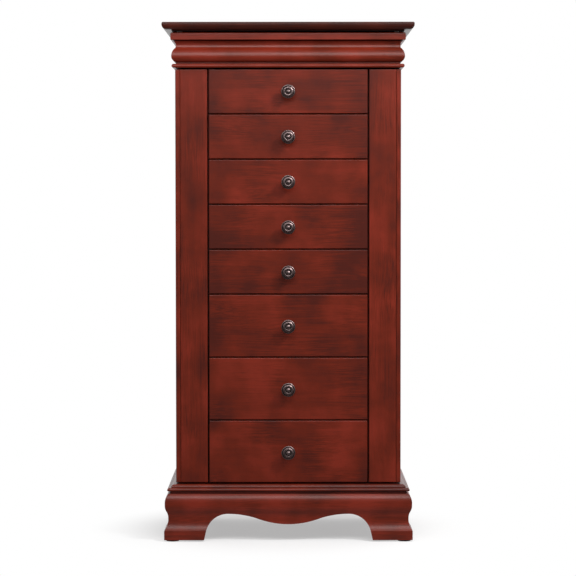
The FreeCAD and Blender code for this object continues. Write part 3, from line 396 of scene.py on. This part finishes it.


# Lid: one board with its edge rounded under, its darker stain painted shade for under that edge.
# Beneath it are a mirror of silvered float glass in a mitred frame, and two soft vinyl bumpers.
# The lid's darker stain and tone are painted shade, standing for the shade under its rounded edge.
LID_STAIN_DARKENED_AS_SHADE = {"deep": "2f100a", "mid": "431509", "high": "571d11"}
DUST_MM = 40
finish_node("lid_board", stained_wood("cherry_stained_lid", ALONG_X, (0.2, 0.9, 0.1), tone=-0.1,
                                      stain=LID_STAIN_DARKENED_AS_SHADE))
# The mirror frame shares the lid's stain, darkened as painted shade.
finish_node("lid_mirror_frame", stained_wood("cherry_stained_mirror_frame", ALONG_X, (0.4, 0.4, 0.8),
                                             stain=LID_STAIN_DARKENED_AS_SHADE))
mirror, tree, shader = new_material("silvered_glass")
place = add(tree, "ShaderNodeTexCoord").outputs["Object"]
dust = add(tree, "ShaderNodeTexNoise", {
    "Vector": place, "Scale": PER_MM / DUST_MM, "Detail": 5.0}).outputs["Fac"]
haze = add(tree, "ShaderNodeMapRange", {"Value": dust, "To Min": 0.01, "To Max": 0.06})
tint = add(tree, "ShaderNodeMix", {
    "Factor": dust, COLOUR_A: srgb("eef1f0"), COLOUR_B: srgb("e4e8e7")}, data_type="RGBA")
tree.links.new(haze.outputs["Result"], shader.inputs["Roughness"])
tree.links.new(tint.outputs[COLOUR_OUT], shader.inputs["Base Color"])
shader.inputs["Metallic"].default_value = 1.0
finish_node("lid_mirror", mirror)
finish_node("lid_bumpers", moulded_plastic("soft_clear_vinyl", "b8b4ac", "cfccc5", roughness=0.35))


# Hinges: butt hinges with countersunk screws, two on the lid and two on each door, of folded
# steel with the same antiqued brass plate as the cup hooks.
for name in ("case_hinge_leaves", "lid_hinge_leaves", "left_door_hinge_leaves", "right_door_hinge_leaves"):
    finish_node(name, brass)


# Drawer liners: a sheet of flocked felt cut to the floor of each drawer's box, and laid in loose.
# The felt lies flat, with a slight wave, and its corners lift a little where it was cut.
FELT_THICK = 0.45 * MM
FELT_LOFT_MM = 0.05
FELT_WAVE_MM = 0.25
FELT_CORNER_LIFT_MM = 0.8
FELT_WAVES_PER_M = 18
CORNER_SHARPNESS = 12
FELT_STEP = 9 * MM
LINER_GAP = 0.5 * MM
BOX_WALL = 9 * MM
BOX_FLOOR = 9 * MM


def laid_felt(name, low, high, floor, body):
    """A rectangle of felt on a floor, LINER_GAP inside its low and high corners in X and Y."""
    gap = Vector((LINER_GAP, LINER_GAP))
    low = Vector(low) + gap
    size = Vector(high) - gap - low
    columns, rows = (round(length / FELT_STEP) for length in size)
    # The floor's height picks another stretch of the noise, so that no two sheets wave alike.
    layer = floor * 40
    cloth = bmesh.new()
    grid = []
    for row in range(rows + 1):
        for column in range(columns + 1):
            u, v = column / columns, row / rows
            x, y = low.x + u * size.x, low.y + v * size.y
            wave = 0.5 + 0.5 * noise.noise(Vector((x * FELT_WAVES_PER_M, y * FELT_WAVES_PER_M, layer)))
            corner = (abs(2 * u - 1) * abs(2 * v - 1)) ** CORNER_SHARPNESS
            lift = (FELT_LOFT_MM + FELT_WAVE_MM * wave + FELT_CORNER_LIFT_MM * corner) * MM
            grid.append(cloth.verts.new((x, y, floor + lift)))
    across = columns + 1
    for row in range(rows):
        for column in range(columns):
            first = row * across + column
            cloth.faces.new([grid[i] for i in (first, first + 1, first + across + 1, first + across)])
    mesh = bpy.data.meshes.new(name)
    cloth.to_mesh(mesh)
    cloth.free()
    mesh.shade_smooth()
    mesh.materials.append(felt)
    liner = bpy.data.objects.new(name, mesh)
    bpy.context.scene.collection.objects.link(liner)
    thickness = liner.modifiers.new("felt_thickness", "SOLIDIFY")
    thickness.thickness = FELT_THICK
    thickness.offset = 1.0
    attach(liner, body)


for number in DRAWERS:
    box = f"drawer_{number}_box"
    box_low, box_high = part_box(box)
    laid_felt(f"drawer_{number}_liner", (box_low.x + BOX_WALL, box_low.y),
              (box_high.x - BOX_WALL, box_high.y - BOX_WALL), box_low.z + BOX_FLOOR,
              f"drawer_{number}")


# Top tray: flocked dividers stand on the deck and part the space beside the rings in two. Each
# part's floor has a loose felt liner, cut as the drawers' are.
DIVIDER_THICK = 6 * MM
CROSS_DIVIDER_FRONT = 40.5 * MM
finish_node("tray_dividers", felt)
deck_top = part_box("deck_board")[1].z
tray_low, tray_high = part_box("tray_dividers")
tray_left = tray_low.x + DIVIDER_THICK
laid_felt("front_tray_liner", (tray_left, tray_low.y), (tray_high.x, CROSS_DIVIDER_FRONT), deck_top,
          "case")
laid_felt("rear_tray_liner", (tray_left, CROSS_DIVIDER_FRONT + DIVIDER_THICK), (tray_high.x, tray_high.y),
          deck_top, "case")


# Ring rolls: thirteen bars of foam wrapped in flocked felt, packed side by side in the top tray,
# so that a ring's band stands in the cleft between two. The felt is drawn tight over the foam,
# and each bar bulges a little between its neighbours.
ROLLS = 13
ROLL_SPACE = 1 * MM
ROLL_CLEAR = 0.3 * MM
FOAM_EDGE = 3 * MM
FOAM_EDGE_CUT = 2 * MM
FOAM_FOOT = 0.6 * MM
FELT_VOXEL = 2.6 * MM
FELT_PRESSED = 2.5 * MM
FELT_PRESSURE = 4
PRESSED_FRAMES = 20
# Each roll takes its own dents from the noise, and is shorter than its space by a hair.
DENTS_ALONG_PER_M = 25
DENTS_ACROSS_PER_M = 60
DENTS_APART = 7.3
DENT_SHARE = 0.012
ROLL_LENGTH_SHARE = 0.995
# The bar before the felt swells, as shares of the finished roll's length, width and height.
FOAM_LONG, FOAM_WIDE, FOAM_TALL = 0.985, 0.9, 0.94
# Places along half the bar, as shares of it, with the section's size there.
FOAM_END = ((0.96, 1.0), (0.985, 0.9), (1.0, 0.7))
rolls_low, rolls_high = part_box("ring_cushion")
roll_pitch = (rolls_high.y - rolls_low.y + ROLL_SPACE) / ROLLS
roll_size = Vector((rolls_high.x - rolls_low.x, roll_pitch - ROLL_CLEAR, rolls_high.z - rolls_low.z))


def foam_bar(size):
    """A bar with a rounded top and eased ends, a little under size, centred on X and Y, foot at 0."""
    half = size.y / 2 * FOAM_WIDE
    tall = size.z * FOAM_TALL
    outline = [(half * math.cos(math.radians(turn)), tall - half + half * math.sin(math.radians(turn)))
               for turn in range(0, 181, 15)]
    outline += [(-half, FOAM_EDGE), (-half + FOAM_EDGE_CUT, FOAM_FOOT),
                (half - FOAM_EDGE_CUT, FOAM_FOOT), (half, FOAM_EDGE)]
    stations = [(-along, swell) for along, swell in reversed(FOAM_END)]
    stations += [(step / 10, 1.0) for step in range(-9, 10)]
    stations += FOAM_END
    bar = bmesh.new()
    rings = []
    middle = tall / 2
    for along, swell in stations:
        x = along * size.x / 2 * FOAM_LONG
        rings.append([bar.verts.new((x, y * swell, middle + (z - middle) * swell)) for y, z in outline])
    count = len(outline)
    for near, far in zip(rings, rings[1:]):
        for i in range(count):
            bar.faces.new((near[i], near[(i + 1) % count], far[(i + 1) % count], far[i]))
    bar.faces.new(rings[0])
    bar.faces.new(reversed(rings[-1]))
    bmesh.ops.recalc_face_normals(bar, faces=bar.faces)
    mesh = bpy.data.meshes.new("foam_bar")
    bar.to_mesh(mesh)
    bar.free()
    return mesh


def applied(piece):
    """The piece's mesh with its modifiers worked in."""
    shaped = piece.evaluated_get(bpy.context.evaluated_depsgraph_get())
    return bpy.data.meshes.new_from_object(shaped)


def swollen(mesh, farthest):
    """The felt pressed out by the foam in it, no point moving farther than farthest."""
    piece = bpy.data.objects.new("foam_bar", mesh)
    bpy.context.scene.collection.objects.link(piece)
    skin = piece.modifiers.new("skin", "REMESH")
    skin.mode = "VOXEL"
    skin.voxel_size = FELT_VOXEL
    start = applied(piece)
    piece.modifiers.clear()
    piece.data = start
    cloth = piece.modifiers.new("cloth", "CLOTH")
    cloth.settings.use_pressure = True
    cloth.settings.uniform_pressure_force = FELT_PRESSURE
    cloth.settings.effector_weights.gravity = 0
    for frame_number in range(1, PRESSED_FRAMES + 1):
        bpy.context.scene.frame_set(frame_number)
    pressed = applied(piece)
    bpy.context.scene.frame_set(1)
    piece.modifiers.clear()
    for point, pushed in zip(start.vertices, pressed.vertices):
        move = pushed.co - point.co
        point.co = point.co + move * min(1.0, farthest / max(move.length, 1e-9))
    smooth = piece.modifiers.new("round", "SUBSURF")
    smooth.levels = 1
    finished = applied(piece)
    bpy.data.objects.remove(piece)
    return finished


roll_mesh = swollen(foam_bar(roll_size), FELT_PRESSED)
lowest, highest = ([pick(point.co[axis] for point in roll_mesh.vertices) for axis in range(3)]
                   for pick in (min, max))
for number in range(ROLLS):
    mesh = roll_mesh.copy()
    foot = Vector(((rolls_low.x + rolls_high.x) / 2,
                   rolls_low.y - ROLL_SPACE / 2 + (number + 0.5) * roll_pitch, rolls_low.z))
    for point in mesh.vertices:
        from_foot = (point.co.x, point.co.y, point.co.z - lowest[2])
        x, y, z = (from_foot[axis] * roll_size[axis] / (highest[axis] - lowest[axis]) for axis in range(3))
        dent = noise.noise(Vector((x * DENTS_ALONG_PER_M, y * DENTS_ACROSS_PER_M,
                                   DENTS_APART * number + z * DENTS_ACROSS_PER_M)))
        squeeze = 1.0 - DENT_SHARE * (1 + dent)
        point.co = foot + Vector((x * ROLL_LENGTH_SHARE, y * squeeze, z * squeeze))
    mesh.shade_smooth()
    mesh.materials.append(felt)
    roll = bpy.data.objects.new(f"ring_roll_{number + 1}", mesh)
    bpy.context.scene.collection.objects.link(roll)
    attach(roll, "case")
    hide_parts("ring_cushion")


# Studio floor: matt white paper. To the camera it fades to pure white away from the cabinet, so
# only the shadow shows. To reflections it is white behind the cabinet and dim in front of it, and
# to bounced light it is grey, so that it doesn't wash out the base.
FLOOR_HALF = 20.0
paper, tree, shader = new_material("white_paper_floor")
shader.inputs["Roughness"].default_value = 0.9
shader.inputs["Specular IOR Level"].default_value = 0.0
ray = add(tree, "ShaderNodeLightPath").outputs
bounce = add(tree, "ShaderNodeMix", {
    "Factor": ray["Is Diffuse Ray"], COLOUR_A: srgb("f4f4f4"), COLOUR_B: srgb("aaaaaa")},
    data_type="RGBA")
tree.links.new(bounce.outputs[COLOUR_OUT], shader.inputs["Base Color"])
place = add(tree, "ShaderNodeTexCoord").outputs["Object"]
distance = add(tree, "ShaderNodeVectorMath", {0: place}, operation="LENGTH")
away = add(tree, "ShaderNodeMapRange", {
    "Value": distance.outputs["Value"], "From Min": 0.2, "From Max": 0.42, "To Min": 0.42, "To Max": 1.0},
    interpolation_type="SMOOTHSTEP")
toward = add(tree, "ShaderNodeSeparateXYZ", {"Vector": place}).outputs["Y"]
behind = add(tree, "ShaderNodeMapRange", {
    "Value": toward, "From Min": -0.5, "From Max": 0.9, "To Min": 0.05, "To Max": 1.0})
ahead = add(tree, "ShaderNodeMapRange", {
    "Value": toward, "From Min": -1.6, "From Max": -0.8, "To Min": 0.1, "To Max": 0.05})
lit = add(tree, "ShaderNodeMath", {0: ahead.outputs["Result"], 1: behind.outputs["Result"]},
          operation="MAXIMUM")
lit = add(tree, "ShaderNodeMath", {0: ray["Is Camera Ray"], 1: lit.outputs[0]}, operation="MAXIMUM")
glow = add(tree, "ShaderNodeEmission", {"Color": srgb("ffffff"), "Strength": lit.outputs[0]})
seen = add(tree, "ShaderNodeMath", {0: ray["Is Camera Ray"], 1: ray["Is Transmission Ray"]},
           operation="MAXIMUM")
fade = add(tree, "ShaderNodeMath", {0: seen.outputs[0], 1: away.outputs["Result"]}, operation="MULTIPLY")
fade = add(tree, "ShaderNodeMath", {0: fade.outputs[0], 1: ray["Is Glossy Ray"]}, operation="MAXIMUM")
blend = add(tree, "ShaderNodeMixShader", {
    0: fade.outputs[0], 1: shader.outputs["BSDF"], 2: glow.outputs["Emission"]})
output = next(node for node in tree.nodes if node.type == "OUTPUT_MATERIAL")
tree.links.new(blend.outputs["Shader"], output.inputs["Surface"])
floor_mesh = bpy.data.meshes.new("studio_floor")
corners = [(x * FLOOR_HALF, y * FLOOR_HALF, 0) for x, y in ((-1, -1), (1, -1), (1, 1), (-1, 1))]
floor_mesh.from_pydata(corners, [], [(0, 1, 2, 3)])
floor_mesh.materials.append(paper)
floor = bpy.data.objects.new("studio_floor", floor_mesh)
bpy.context.scene.collection.objects.link(floor)


# Studio lamps: a wide softbox in front and above, which draws the broad highlights on the
# mouldings, and a smaller one at the upper right for the soft shadows at the lower left.
def softbox(name, place, aim, size, watts):
    """An area lamp at place, turned to aim, width and height in metres."""
    lamp = bpy.data.lights.new(name, "AREA")
    lamp.shape = "RECTANGLE"
    lamp.size, lamp.size_y = size
    lamp.energy = watts
    holder = bpy.data.objects.new(name, lamp)
    holder.location = place
    holder.rotation_mode = "QUATERNION"
    holder.rotation_quaternion = (Vector(aim) - Vector(place)).to_track_quat("-Z", "Y")
    bpy.context.scene.collection.objects.link(holder)


softbox("overhead_softbox", place=(0, -2.05, 1.87), aim=(0, -0.15, 0.6), size=(2.4, 0.8), watts=26)
softbox("key_softbox", place=(1.3, -1.2, 1.95), aim=(0, 0, 0.6), size=(0.5, 0.5), watts=36)


# White surround: pure white to the camera, and in reflections white behind and dim in front, like
# the floor. Its soft fill light is stronger from behind, where no lamp reaches.
world = bpy.data.worlds.new("white_surround")
bpy.context.scene.world = world
world.use_nodes = True
tree = world.node_tree
tree.nodes.clear()
ray = add(tree, "ShaderNodeLightPath").outputs
seen = add(tree, "ShaderNodeMath", {0: ray["Is Camera Ray"], 1: ray["Is Glossy Ray"]}, operation="MAXIMUM")
seen = add(tree, "ShaderNodeMath", {0: seen.outputs[0], 1: ray["Is Transmission Ray"]}, operation="MAXIMUM")
direction = add(tree, "ShaderNodeTexCoord").outputs["Generated"]
toward = add(tree, "ShaderNodeSeparateXYZ", {"Vector": direction}).outputs["Y"]
behind = add(tree, "ShaderNodeMapRange", {
    "Value": toward, "From Min": -0.7, "From Max": 0.2, "To Min": 0.1, "To Max": 1.0})
lit = add(tree, "ShaderNodeMath", {0: ray["Is Camera Ray"], 1: behind.outputs["Result"]},
          operation="MAXIMUM")
fill = add(tree, "ShaderNodeMapRange", {
    "Value": toward, "From Min": 0.1, "From Max": 0.9, "To Min": 0.45, "To Max": 1.0})
strength = add(tree, "ShaderNodeMapRange", {
    "Value": seen.outputs[0], "To Min": fill.outputs["Result"], "To Max": lit.outputs[0]})
surround = add(tree, "ShaderNodeBackground", {
    "Color": srgb("ffffff"), "Strength": strength.outputs["Result"]})
add(tree, "ShaderNodeOutputWorld", {"Surface": surround.outputs["Background"]})


# Camera: a long lens at two thirds of the cabinet's height, tilted down a little. Its place comes
# from where the edges of the lid and the base that recede in the photograph meet.
CAMERA_PLACE = (-0.5 * MM, -4.6, 0.6827)
CAMERA_TILT = math.radians(2.384)
CAMERA_ROLL = math.radians(-0.04)
FOCAL_PIXELS = 2272.5
FRAME_PIXELS = 576
lens = bpy.data.cameras.new("camera")
lens.sensor_width = 36.0
lens.lens = FOCAL_PIXELS / FRAME_PIXELS * lens.sensor_width
camera = bpy.data.objects.new("camera", lens)
tilted = Matrix.Rotation(math.radians(90) - CAMERA_TILT, 4, "X")
rolled = Matrix.Rotation(CAMERA_ROLL, 4, "Z")
camera.matrix_world = Matrix.Translation(CAMERA_PLACE) @ tilted @ rolled
bpy.context.scene.collection.objects.link(camera)
bpy.context.scene.camera = camera
bpy.context.scene.view_settings.view_transform = "Standard"
